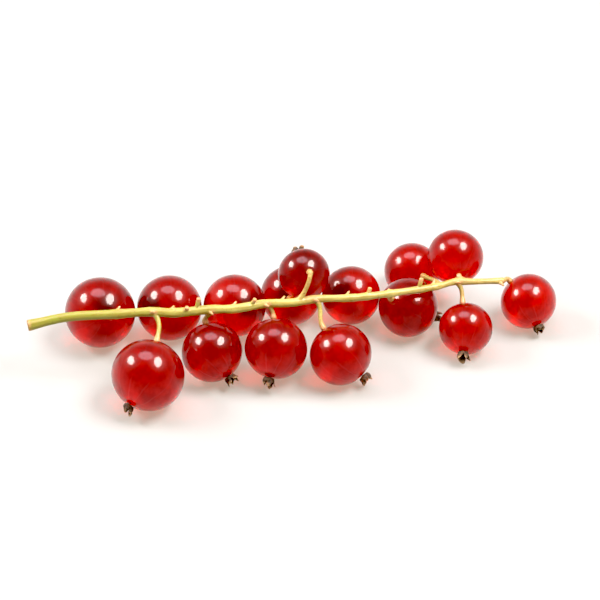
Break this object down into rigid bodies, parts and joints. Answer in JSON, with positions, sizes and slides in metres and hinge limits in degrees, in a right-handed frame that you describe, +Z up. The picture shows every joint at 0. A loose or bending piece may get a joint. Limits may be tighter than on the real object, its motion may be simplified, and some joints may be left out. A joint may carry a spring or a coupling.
{
  "type": "sprig of redcurrants",
  "caption": "Cut sprig of ripe redcurrants: glossy round berries on short pedicels along a thin curved stalk, lying down as picked.",
  "frame": {"origin": "on the surface that the sprig lies on, under the middle of its bounding box", "axes": "+X along the rachis from its cut end to its tip, +Z up, +Y towards the back of the sprig as it lies"},
  "size_m": [0.079, 0.0306, 0.0154],
  "materials": {
    "stalk": "fresh plant stalk, pale yellow-green, satin, amber at the ends of the pedicels",
    "berry_skin": "ripe redcurrant, thin glossy translucent red skin over clear red flesh",
    "dried_flower": "withered flower, dry brown, matte"
  },
  "bodies": {
    "root": {"stalk": "stalk", "berry_1": "berry_skin", "berry_2": "berry_skin", "berry_3": "berry_skin", "berry_4": "berry_skin", "berry_5": "berry_skin", "berry_6": "berry_skin", "berry_7": "berry_skin", "berry_8": "berry_skin", "berry_9": "berry_skin", "berry_10": "berry_skin", "berry_11": "berry_skin", "berry_12": "berry_skin", "berry_13": "berry_skin", "berry_14": "berry_skin", "berry_15": "berry_skin", "dried_flower_1": "dried_flower", "dried_flower_2": "dried_flower", "dried_flower_3": "dried_flower", "dried_flower_4": "dried_flower", "dried_flower_5": "dried_flower", "dried_flower_6": "dried_flower", "dried_flower_7": "dried_flower", "dried_flower_8": "dried_flower", "dried_flower_9": "dried_flower", "dried_flower_10": "dried_flower", "dried_flower_11": "dried_flower", "dried_flower_12": "dried_flower", "dried_flower_13": "dried_flower", "dried_flower_14": "dried_flower", "dried_flower_15": "dried_flower"}
  },
  "joints": []
}
